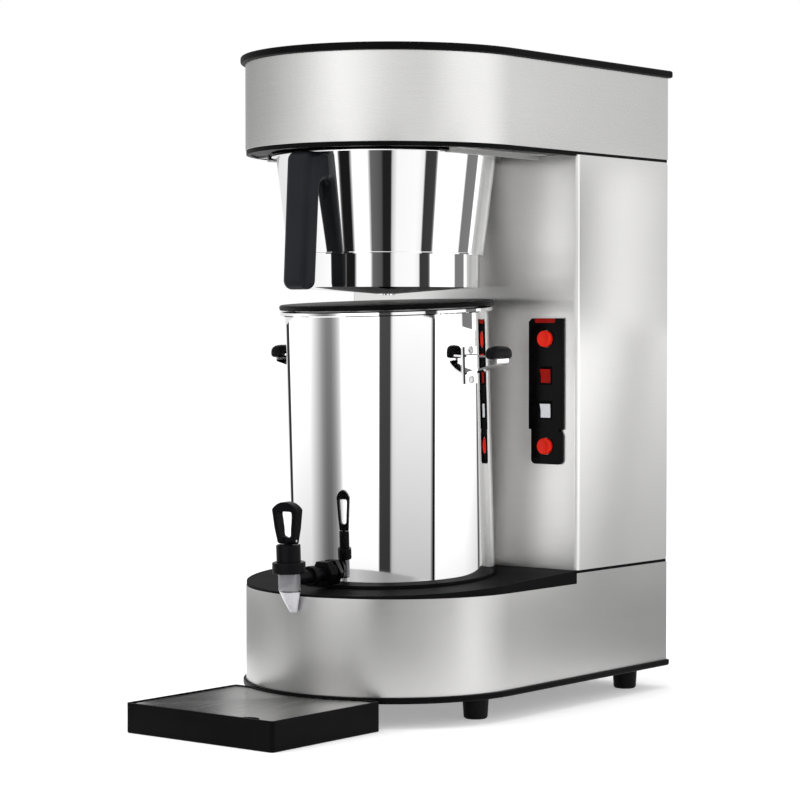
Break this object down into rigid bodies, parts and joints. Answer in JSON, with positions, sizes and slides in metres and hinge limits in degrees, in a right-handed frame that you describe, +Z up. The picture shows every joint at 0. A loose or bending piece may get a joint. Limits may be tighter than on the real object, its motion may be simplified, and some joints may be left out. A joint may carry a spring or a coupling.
{
  "type": "filter coffee brewer",
  "caption": "Steel counter coffee brewer with a round nose, pull-out brew funnel, insulated urn with tap and lid, control strip and drip tray.",
  "frame": {"origin": "on the counter, under the middle of the whole box", "axes": "+Z up, -Y to the front where the tap and tray are, +X to the right of someone who faces the front, on the side of the control strip"},
  "size_m": [0.31, 0.602, 0.6649],
  "materials": {
    "satin_steel": "fine satin brushed",
    "polished_steel": "mirror polished",
    "tray_steel": "brushed lengthwise",
    "plain_steel": "mill",
    "black_trim": "satin black",
    "black_handle": "fine grained",
    "black_gloss": "gloss",
    "smoke_plastic": "gloss grey",
    "rubber": "matt",
    "silicone": "matt",
    "red_button": "gloss",
    "white_button": "gloss",
    "brass": "machined",
    "board": "satin"
  },
  "bodies": {
    "housing": {"base_wrap": "satin_steel", "column_shell": "satin_steel", "rear_panel": "satin_steel", "head_wrap": "satin_steel", "foot_screws": "plain_steel", "rear_panel_screws": "plain_steel", "funnel_rails": "plain_steel", "spray_head": "plain_steel", "tank_shelf": "plain_steel", "water_tank": "plain_steel", "tank_lid": "plain_steel", "tank_lid_screws": "plain_steel", "heating_element": "plain_steel", "level_probe": "plain_steel", "spray_pipe": "plain_steel", "electronics_plate": "plain_steel", "plinth": "black_trim", "deck_cover": "black_trim", "head_plate": "black_trim", "top_cover": "black_trim", "switch_housings": "black_trim", "control_fascia": "black_gloss", "cable_gland": "black_gloss", "dry_boil_thermostat": "black_gloss", "terminal_block": "black_gloss", "valve_coil": "black_gloss", "feet": "rubber", "fill_pipe": "silicone", "inlet_valve": "brass", "control_board": "board"},
    "funnel": {"funnel_shell": "polished_steel", "funnel_sump": "polished_steel", "filter_screen": "plain_steel", "funnel_handle": "black_handle", "funnel_handle_screws": "plain_steel"},
    "urn": {"urn_shell": "polished_steel", "urn_liner": "plain_steel", "urn_base_ring": "rubber", "side_brackets": "polished_steel", "side_grips": "black_handle", "bracket_rivets": "plain_steel", "tap_spout": "smoke_plastic", "tap_shank": "black_handle", "tap_nut": "black_handle", "tap_washer": "rubber", "tap_collar": "black_handle", "tap_bonnet": "black_handle", "tap_pin": "plain_steel"},
    "lid": {"urn_lid": "black_trim", "lid_gasket": "silicone"},
    "lever": {"tap_lever": "black_handle"},
    "stem": {"tap_stem": "plain_steel", "seat_cup": "silicone"},
    "start": {"start_button": "red_button"},
    "stop": {"stop_button": "red_button"},
    "rocker_red": {"red_rocker": "red_button"},
    "rocker_white": {"white_rocker": "white_button"},
    "tray": {"drip_pan": "black_trim"},
    "tray_plate": {"drip_plate": "tray_steel"}
  },
  "joints": [
    {"name": "funnel_slide", "type": "slide", "parent": "housing", "child": "funnel", "axis": [0, -1, 0], "range_m": [0, 0.26]},
    {"name": "urn_slide", "type": "slide", "parent": "housing", "child": "urn", "axis": [0, -0.999, -0.0436], "range_m": [0, 0.24]},
    {"name": "lid_lift", "type": "slide", "parent": "urn", "child": "lid", "axis": [0, -0.0436, 0.999], "range_m": [0, 0.006]},
    {"name": "lever_tilt", "type": "hinge", "parent": "urn", "child": "lever", "pos_m": [0, -0.1707, 0.18157], "axis": [1, 0, 0], "range_deg": [0, 35], "stiffness_Nm_per_rad": 0.3, "springref_deg": -11.46},
    {"name": "stem_lift", "type": "slide", "parent": "urn", "child": "stem", "axis": [0, -0.0436, 0.999], "range_m": [0, 0.003]},
    {"name": "start_press", "type": "slide", "parent": "housing", "child": "start", "axis": [0, 1, 0], "range_m": [0, 0.0025], "stiffness_N_per_m": 400, "springref_m": -0.0008},
    {"name": "stop_press", "type": "slide", "parent": "housing", "child": "stop", "axis": [0, 1, 0], "range_m": [0, 0.0025], "stiffness_N_per_m": 400, "springref_m": -0.0008},
    {"name": "red_rock", "type": "hinge", "parent": "housing", "child": "rocker_red", "pos_m": [0.1126, 0.1095, 0.34], "axis": [-1, 0, 0], "range_deg": [0, 14]},
    {"name": "white_rock", "type": "hinge", "parent": "housing", "child": "rocker_white", "pos_m": [0.1126, 0.1095, 0.304], "axis": [-1, 0, 0], "range_deg": [0, 14]},
    {"name": "tray_slide", "type": "slide", "parent": "housing", "child": "tray", "axis": [0, -1, 0], "range_m": [0, 0.2]},
    {"name": "plate_lift", "type": "slide", "parent": "tray", "child": "tray_plate", "axis": [0, 0, 1], "range_m": [0, 0.05]}
  ],
  "couplings": [
    {"joint": "stem_lift", "follows": "lever_tilt", "m_per_rad": 0.0049}
  ]
}
